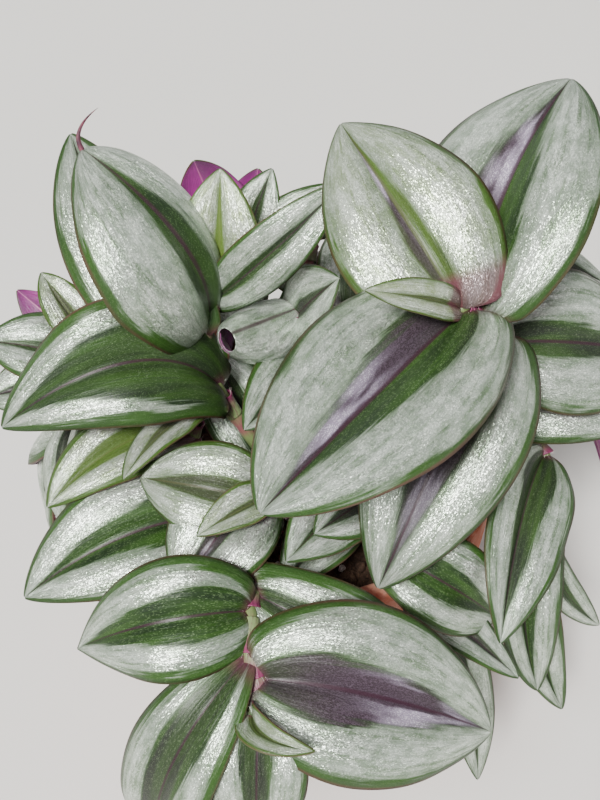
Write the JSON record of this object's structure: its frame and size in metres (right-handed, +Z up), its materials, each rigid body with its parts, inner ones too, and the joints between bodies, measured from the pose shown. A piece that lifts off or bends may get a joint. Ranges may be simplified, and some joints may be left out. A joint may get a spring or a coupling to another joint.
{
  "type": "potted tradescantia",
  "caption": "Bushy potted tradescantia with silver and green striped, pointed leaves and magenta undersides on trailing stems, rooted in soil in a plain round clay pot.",
  "frame": {"origin": "centre of the pot's flat underside", "axes": "+Z up, -Y towards the viewer of the picture, +X to that viewer's right"},
  "size_m": [0.1813, 0.1932, 0.1764],
  "materials": {
    "fired_clay": "matte, fine grain",
    "potting_soil": "rough, damp crumbs",
    "leaf": "satin, silver stripes on green, magenta underneath"
  },
  "bodies": {
    "root": {"pot": "fired_clay", "potting_soil": "potting_soil", "leafy_stem_crown": "leaf", "leafy_stem_left_high": "leaf", "leafy_stem_middle": "leaf", "leafy_stem_left_back": "leaf", "leafy_stem_left": "leaf", "leafy_stem_left_trailing": "leaf", "leafy_stem_left_young": "leaf", "leafy_stem_left_front": "leaf", "leafy_stem_front": "leaf", "leafy_stem_right_front": "leaf", "leafy_stem_inner": "leaf", "leafy_stem_trailing": "leaf", "leafy_stem_back_left": "leaf", "leafy_stem_back_trailing": "leaf", "leafy_stem_back": "leaf", "leafy_stem_back_right": "leaf", "leafy_stem_back_right_trailing": "leaf", "leafy_stem_centre": "leaf", "leafy_stem_right": "leaf"}
  },
  "joints": []
}
